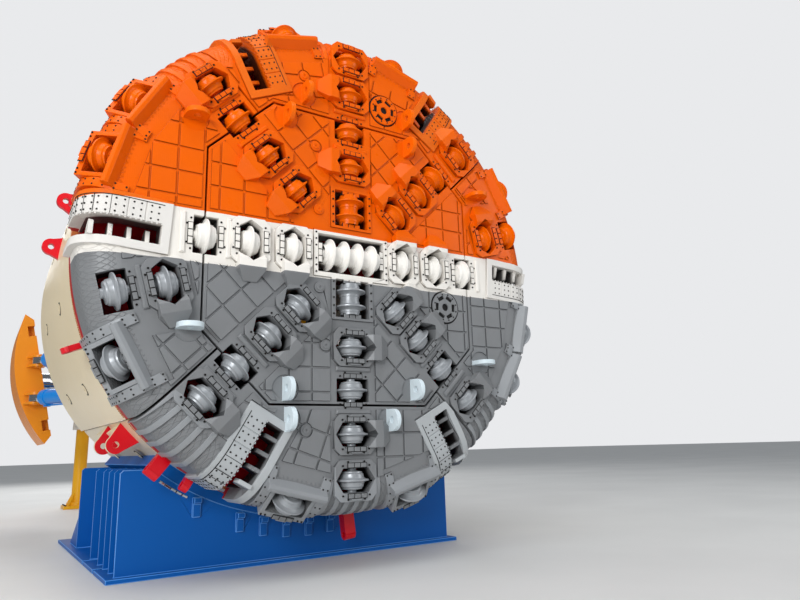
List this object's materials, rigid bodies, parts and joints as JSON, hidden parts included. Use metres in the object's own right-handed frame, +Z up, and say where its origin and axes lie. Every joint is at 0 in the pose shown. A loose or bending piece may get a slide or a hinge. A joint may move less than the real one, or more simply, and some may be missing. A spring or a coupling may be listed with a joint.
{
  "type": "tunnel boring machine",
  "caption": "Open hard rock tunnel boring machine on a factory cradle, with disc cutterhead, split shield, main beam, gripper shoes, propel cylinders and rear legs.",
  "frame": {"origin": "floor level under the middle of the machine's length and width", "axes": "+Z up, the cutterhead faces -Y, +X to the right seen from the front"},
  "size_m": [7.7834, 18.5, 8.2327],
  "materials": {
    "orange_paint": "gloss",
    "grey_steel": "satin",
    "silver_steel": "satin",
    "white_steel": "gloss",
    "red_paint": "gloss",
    "primer": "satin",
    "blue_paint": "satin",
    "yellow_paint": "gloss",
    "machine_white": "satin",
    "rod_chrome": "polished",
    "dark_steel": "satin",
    "belt_rubber": "matt"
  },
  "bodies": {
    "root": {"cradle": "blue_paint", "shield_bottom": "primer", "cutterhead_support": "machine_white", "shield_jacks": "yellow_paint", "drive_motors": "blue_paint", "main_beam_front": "machine_white", "main_beam_rear": "machine_white", "conveyor": "belt_rubber", "propel_bracket": "machine_white", "rear_support": "machine_white", "erector_carrier": "yellow_paint", "drill_carriage": "yellow_paint", "tow_bracket": "yellow_paint"},
    "cutterhead": {"cutterhead_center": "orange_paint", "cutterhead_top": "orange_paint", "cutterhead_left": "orange_paint", "cutterhead_bottom": "grey_steel", "cutterhead_right": "grey_steel", "cutterhead_rotor": "red_paint", "face_cutters": "silver_steel", "center_cutters": "white_steel", "gauge_cutters": "silver_steel"},
    "roof_shield": {"shield_roof": "primer", "finger_shield": "primer"},
    "side_shield_left": {"shield_side_left": "primer"},
    "side_shield_right": {"shield_side_right": "primer"},
    "saddle": {"gripper_saddle": "yellow_paint", "gripper_cylinder": "dark_steel"},
    "gripper_left": {"gripper_shoe_left": "yellow_paint", "gripper_rod_left": "rod_chrome"},
    "gripper_right": {"gripper_shoe_right": "yellow_paint", "gripper_rod_right": "rod_chrome"},
    "propel_left": {"propel_barrels_left": "blue_paint"},
    "propel_right": {"propel_barrels_right": "blue_paint"},
    "propel_rod_left": {"propel_rods_left": "rod_chrome"},
    "propel_rod_right": {"propel_rods_right": "rod_chrome"},
    "leg_left": {"rear_leg_left": "yellow_paint"},
    "leg_right": {"rear_leg_right": "yellow_paint"},
    "erector": {"erector_ring": "yellow_paint"},
    "drill_left": {"drill_left": "red_paint"},
    "drill_right": {"drill_right": "red_paint"}
  },
  "joints": [
    {"name": "cutterhead_spin", "type": "hinge", "parent": "root", "child": "cutterhead", "pos_m": [0, -8.95, 4.45], "axis": [0, -1, 0], "continuous": true},
    {"name": "roof_shield_lift", "type": "slide", "parent": "root", "child": "roof_shield", "axis": [0, 0, 1], "range_m": [0, 0.08]},
    {"name": "side_shield_left_out", "type": "slide", "parent": "root", "child": "side_shield_left", "axis": [-1, 0, 0], "range_m": [0, 0.06]},
    {"name": "side_shield_right_out", "type": "slide", "parent": "root", "child": "side_shield_right", "axis": [1, 0, 0], "range_m": [0, 0.06]},
    {"name": "saddle_slide", "type": "slide", "parent": "root", "child": "saddle", "axis": [0, 1, 0], "range_m": [0, 1.8]},
    {"name": "gripper_left_out", "type": "slide", "parent": "saddle", "child": "gripper_left", "axis": [-1, 0, 0], "range_m": [-0.35, 0.05]},
    {"name": "gripper_right_out", "type": "slide", "parent": "saddle", "child": "gripper_right", "axis": [1, 0, 0], "range_m": [-0.35, 0.05]},
    {"name": "propel_swing_left", "type": "hinge", "parent": "root", "child": "propel_left", "pos_m": [-1.25, -1.5, 3.7], "axis": [0, 0, -1], "range_deg": [0, 6.98]},
    {"name": "propel_swing_right", "type": "hinge", "parent": "root", "child": "propel_right", "pos_m": [1.25, -1.5, 3.7], "axis": [0, 0, 1], "range_deg": [0, 6.98]},
    {"name": "propel_stroke_left", "type": "slide", "parent": "propel_left", "child": "propel_rod_left", "axis": [-0.4236, 0.9058, 0], "range_m": [0, 1.678]},
    {"name": "propel_stroke_right", "type": "slide", "parent": "propel_right", "child": "propel_rod_right", "axis": [0.4236, 0.9058, 0], "range_m": [0, 1.678]},
    {"name": "rear_leg_left_lift", "type": "slide", "parent": "root", "child": "leg_left", "axis": [0, 0, 1], "range_m": [0, 0.8]},
    {"name": "rear_leg_right_lift", "type": "slide", "parent": "root", "child": "leg_right", "axis": [0, 0, 1], "range_m": [0, 0.8]},
    {"name": "erector_turn", "type": "hinge", "parent": "root", "child": "erector", "pos_m": [0, -2.95, 4.45], "axis": [0, 1, 0], "range_deg": [-180, 180]},
    {"name": "drill_left_swing", "type": "hinge", "parent": "root", "child": "drill_left", "pos_m": [-1, -0.35, 6.23], "axis": [0, -1, 0], "range_deg": [-20, 75]},
    {"name": "drill_right_swing", "type": "hinge", "parent": "root", "child": "drill_right", "pos_m": [1, -0.35, 6.23], "axis": [0, 1, 0], "range_deg": [-20, 75]}
  ],
  "couplings": [
    {"joint": "propel_swing_left", "follows": "saddle_slide", "rad_per_m": 0.067615},
    {"joint": "propel_stroke_left", "follows": "saddle_slide", "ratio": 0.93166},
    {"joint": "propel_swing_right", "follows": "saddle_slide", "rad_per_m": 0.067615},
    {"joint": "propel_stroke_right", "follows": "saddle_slide", "ratio": 0.93166}
  ]
}
